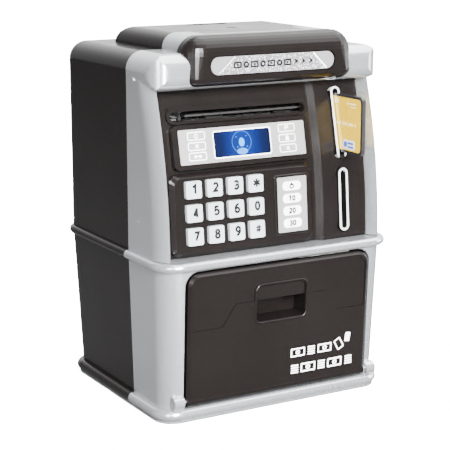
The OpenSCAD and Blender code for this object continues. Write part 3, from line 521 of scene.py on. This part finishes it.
def print_display():
    plane = front_plane(DISPLAY_X, DISPLAY_Z, "display_label")
    left, right = -25.9, 25.8
    top, middle, low = 5.2, 0.2, -4.8
    boxes = [(left, top), (left, middle), (left, low), (right, 5.4), (right, 0.3), (right, low)]
    marks = [outline(x, y, 9.9, 4.1, 1.0, 0.45) for x, y in boxes]
    marks += [ring(left, top, 1.1, 0.45), *cross(left, middle, 0.8, 0.5)]
    marks += [disc(left - 1.3, low, 0.75), disc(left + 1.3, low, 0.75)]
    marks += [line(left - 0.7, low, left + 0.7, low, 0.4)]
    marks += [line(right - 0.7, 4.3, right - 0.7, 6.6, 0.5), ring(right + 0.3, 5.9, 0.85, 0.4)]
    marks += [block(right, 0.0, 2.0, 1.8, 0.3), line(right, 0.9, right, 1.6, 0.9)]
    marks += cross(right, low, 0.8, 0.5)
    ink("display_icons", plane, marks, "ink_white", "case")
    ink("screen_line", plane, [outline(-0.3, 0, 33.3, 13.8, 1.5, 0.6)], "ink_white", "case")
    glass = front_plane(DISPLAY_X, DISPLAY_Z, "display_screen")
    x = -0.7
    dots = [block(*at, 0.7, 0.7, 0.2, 45) for at in [(-3.6, 3.1), (2.1, 3.2), (-3.1, -1.9), (2.4, -2.0)]]
    ink("screen_circle", glass, [ring(x, 0.4, 5.6, 0.35), *dots], "screen_ring", "case")
    ink("screen_shoulders", glass, [disc(x, -4.2, 3.1, 1.6)], "screen_body", "case", PRINT_T)
    ink("screen_figure", glass, [disc(x, 0.3, 1.6, 2.2)], "screen_head", "case", PRINT_T)


def print_header():
    plane = Plane((0, -48.9, 175), (1, 0, 0), (0, 0, 1))
    patch = [(31.4, -4.1), (23.0, 4.1), (-22.3, 4.1), (-31.6, -4.1)]
    ink("header_glitter", plane, [patch], "glitter", "case")
    ink("header_lines", plane, [line(30.9, -3.9, 22.9, 4.0, 0.7), line(-30.9, -3.9, -22.3, 4.0, 0.3)],
        "ink_white", "case", PRINT_T)
    arrows = [[(x - 1.1, 1.8), (x - 0.4, 0.2), (x - 1.1, -1.4), (x + 1.5, 0.2)] for x in (12.8, 17.0, 21.4)]
    marks = []
    for i in range(7):
        x = -20.6 + 4.75 * i
        if i % 2:
            marks.append(ring(x, 0, 1.6, 0.95))
        else:
            marks += [outline(x, 0, 4.4, 3.2, 0.4, 0.85), disc(x, 0, 0.6)]
    ink("header_marks", plane, arrows + marks, "ink_black", "case", PRINT_T)


def print_card():
    """The same print on both faces. Along runs out of the slot, and its sign differs between the faces."""
    faces = [("near", Plane((42, 0, 142), (0, -1, 0), (0, 0, 1)), 1),
             ("far", Plane((44, 0, 142), (0, 1, 0), (0, 0, 1)), -1)]
    digits = 13
    for side, plane, along in faces:
        ink("card_face_" + side, plane, [block(along * 41.0, 0, 45.2, 26.8, 1.6)], "gold", "bank_card")
        lines = [block(along * 42.2, 11.2, 3.6, 2.6, 0.5),
                 line(along * 51.5, 10.6, along * 59.5, 10.6, 0.7),
                 line(along * 54.5, 9.0, along * 59.5, 9.0, 0.5)]
        for i in range(digits):
            groups_passed = i // 4
            lines.append(block(along * (42.6 + 1.15 * i + 0.9 * groups_passed), 0, 0.75, 1.5, 0.2))
        ink("card_lines_" + side, plane, lines, "gold_pale", "bank_card", PRINT_T)
        patch = block(along * 53.8, -10.4, 10.6, 4.9, 1.6)
        ink("card_patch_" + side, plane, [patch], "ink_pale", "bank_card", PRINT_T)
        mark = [disc(along * 50.9, -10.4, 1.5)]
        mark += [block(along * 55.3, y, 5.2, 1.1, 0.5) for y in (-9.6, -11.5)]
        ink("card_mark_" + side, plane, mark, "card_blue", "bank_card", 2 * PRINT_T)


def note(cx, cy, w, h, thick):
    return [outline(cx, cy, w, h, 0.6, thick), ring(cx, cy, h * 0.27, thick)]


def coins(cx, low):
    """A pile of coins seen from the side."""
    return [block(cx, low + 1.25 * i, 4.4, 0.85, 0.4) for i in range(4)]


def door_plane():
    return Plane((0, DOOR_Y, DOOR_Z), (1, 0, 0), (0, -math.sin(DOOR_LEAN), math.cos(DOOR_LEAN)))


def print_door():
    plane = door_plane()
    plane.lift += 0.01 * MM
    upper = [*note(11.0, 16.4, 8.6, 4.7, 0.8), *coins(19.2, 14.5), *note(27.4, 16.4, 8.6, 4.7, 0.8)]
    lower = [*coins(9.4, 5.6), *note(17.6, 7.5, 9.0, 4.9, 0.85), *coins(25.8, 5.6)]
    lower += [*note(34.0, 7.5, 9.0, 4.9, 0.85), *coins(42.6, 5.6)]
    cards = [outline(36.2, 17.2, 4.3, 6.2, 0.7, 0.7, 30), block(41.5, 20.2, 3.1, 4.8, 0.4, -8)]
    ink("door_print", plane, upper + lower + cards, "ink_white", "cash_door")


# ---- Pieces with depth ----

def pull_rim():
    """Raised rim all round the finger pull. Its foot is sunk below the door's face."""
    plane = door_plane()
    plane.lift = -0.15 * MM
    middle_y, w, h, r, wide = 45.5, 31.4, 21.2, 4.2, 1.1
    shoulder, crest = 0.2, 0.62
    outer = block(0, middle_y, w, h, r)
    inner = block(0, middle_y, w - 2 * wide, h - 2 * wide, r - wide)
    top = [((x0 + x1) / 2, (y0 + y1) / 2) for (x0, y0), (x1, y1) in zip(outer, inner)]
    rows = [(outer, 0.0), (outer, shoulder), (top, crest), (inner, shoulder), (inner, 0.0)]
    b = bmesh.new()
    loops = [[b.verts.new(plane.at(x, y, up * MM)) for x, y in points] for points, up in rows]
    for low, high in zip(loops, loops[1:] + loops[:1]):
        bridge(b, low, high)
    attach(add_piece("pull_rim", b, MATERIALS["black"], smooth=True), "cash_door")


def lock_coil():
    """The lock's spring, which on the real lock shortens as the bolt moves; this coil keeps one length. It
    fills the box of the CAD spring.
    """
    turns, steps, sides, radius, wire = 5, 28, 8, 2.3, 0.28
    spots = [v.co for v in NODES["lock_spring"].data.vertices]
    low, high = [[pick(v[k] for v in spots) for k in range(3)] for pick in (min, max)]
    y0, z0 = (low[1] + high[1]) / 2, (low[2] + high[2]) / 2
    first, last = low[0] + 0.3 * MM, high[0] - 0.3 * MM
    b = bmesh.new()
    loops = []
    for i in range(turns * steps + 1):
        a = math.tau * i / steps
        x = first + (last - first) * i / (turns * steps)
        loop = []
        for k in range(sides):
            turn = math.tau * k / sides
            r = radius + wire * math.sin(turn)
            spot = (x + wire * math.cos(turn) * MM, y0 + r * math.cos(a) * MM, z0 + r * math.sin(a) * MM)
            loop.append(b.verts.new(spot))
        loops.append(loop)
    for near, far in zip(loops, loops[1:]):
        bridge(b, near, far)
    b.faces.new(loops[0][::-1])
    b.faces.new(loops[-1])
    piece = add_piece("lock_coil", b, MATERIALS["steel"], smooth=True)
    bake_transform(piece)
    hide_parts("lock_spring")


# ---- Studio ----

# Floor: what the camera sees is the lit part plus a glow. Sky: strengths for the camera and for light.
FLOOR_GAIN = 7.0
FLOOR_GLOW = 9.0
SKY_SEEN = 20.0
SKY_LIGHT = 2.6

CAMERA_PLACE = (-0.36584, -0.63692, 0.24772)
CAMERA_TURN = math.radians(29.9)
CAMERA_DOWN = math.radians(12.55)
LENS = 112.96
SENSOR = 36

# Name, place, target, size in metres, power in watts
LIGHTS = [
    ("key", (-0.25, -1.6, 0.85), (0, 0, 0.1), (0.6, 0.6), 240),
    ("front_strip", (-0.17, -0.56, 0.13), (-0.06, 0, 0.12), (0.07, 0.36), 6.5),
    ("top", (0.4, -0.1, 1.15), (0, 0, 0.1), (1.3, 1.3), 38),
    ("left_strip", (-1.15, -1.05, 0.4), (0, 0, 0.12), (0.3, 1.0), 22),
    ("right_strip", (1.3, -0.45, 0.4), (0, 0, 0.12), (0.35, 1.0), 15),
]


def floor():
    """White for the camera, dark for light and reflections."""
    s = Shader("floor_white")
    s.set(Roughness=0.8, Specular_IOR_Level=0.1)
    s.colour(s.colours(s.noise(3.0), (0.085, 0.085, 0.085), (0.095, 0.095, 0.095)))
    lit = s.add("ShaderNodeBsdfDiffuse", Color=(FLOOR_GAIN, FLOOR_GAIN, FLOOR_GAIN, 1))
    glow = s.add("ShaderNodeEmission", Color=(1, 1, 1, 1), Strength=FLOOR_GLOW)
    bright = s.add("ShaderNodeAddShader")
    s.link(lit.outputs[0], bright.inputs[0])
    s.link(glow.outputs[0], bright.inputs[1])
    both = s.split_by_ray(bright.outputs[0], s.bsdf.outputs[0])
    s.link(both, s.tree.nodes["Material Output"].inputs["Surface"])
    b = bmesh.new()
    b.faces.new([b.verts.new((x, y, 0)) for x, y in ((-3, -3), (3, -3), (3, 6), (-3, 6))])
    add_piece("floor", b, s.material)


def sky():
    """White for the camera. For light and reflections it brightens behind and to the right."""
    world = bpy.data.worlds.new("studio")
    bpy.context.scene.world = world
    world.use_nodes = True
    s = Tree(world.node_tree)
    seen = world.node_tree.nodes["Background"]
    seen.inputs["Color"].default_value = (1, 1, 1, 1)
    seen.inputs["Strength"].default_value = SKY_SEEN
    way = s.add("ShaderNodeSeparateXYZ")
    s.link(s.add("ShaderNodeTexCoord").outputs["Generated"], way.inputs["Vector"])
    sideways = s.math("MULTIPLY_ADD", way.outputs["X"], 1.2, way.outputs["Y"])
    half = s.math("MULTIPLY_ADD", sideways, 0.5, 0.5)
    unseen = s.add("ShaderNodeBackground", Strength=SKY_LIGHT)
    s.link(s.colours(half, (0.15, 0.15, 0.155), (1.0, 1.0, 1.0), 0.66, 1.0), unseen.inputs["Color"])
    both = s.split_by_ray(seen.outputs[0], unseen.outputs[0])
    s.link(both, world.node_tree.nodes["World Output"].inputs["Surface"])


def area_light(name, place, target, size, power):
    data = bpy.data.lights.new(name, "AREA")
    data.shape = "RECTANGLE"
    data.size, data.size_y = size
    data.energy = power
    light = bpy.data.objects.new(name, data)
    light.location = place
    light.rotation_euler = (Vector(target) - Vector(place)).to_track_quat("-Z", "Y").to_euler()
    bpy.context.scene.collection.objects.link(light)


def camera():
    data = bpy.data.cameras.new("camera")
    data.lens = LENS
    data.sensor_width = SENSOR
    view = bpy.data.objects.new("camera", data)
    level = math.cos(CAMERA_DOWN)
    ahead = Vector((math.sin(CAMERA_TURN) * level, math.cos(CAMERA_TURN) * level, -math.sin(CAMERA_DOWN)))
    view.location = CAMERA_PLACE
    view.rotation_euler = ahead.to_track_quat("-Z", "Y").to_euler()
    bpy.context.scene.collection.objects.link(view)
    bpy.context.scene.camera = view


floor()
sky()
camera()
for light in LIGHTS:
    area_light(*light)
paint_nodes()
soften_edges()
print_keys()
print_amounts()
print_display()
print_header()
print_card()
print_door()
pull_rim()
lock_coil()
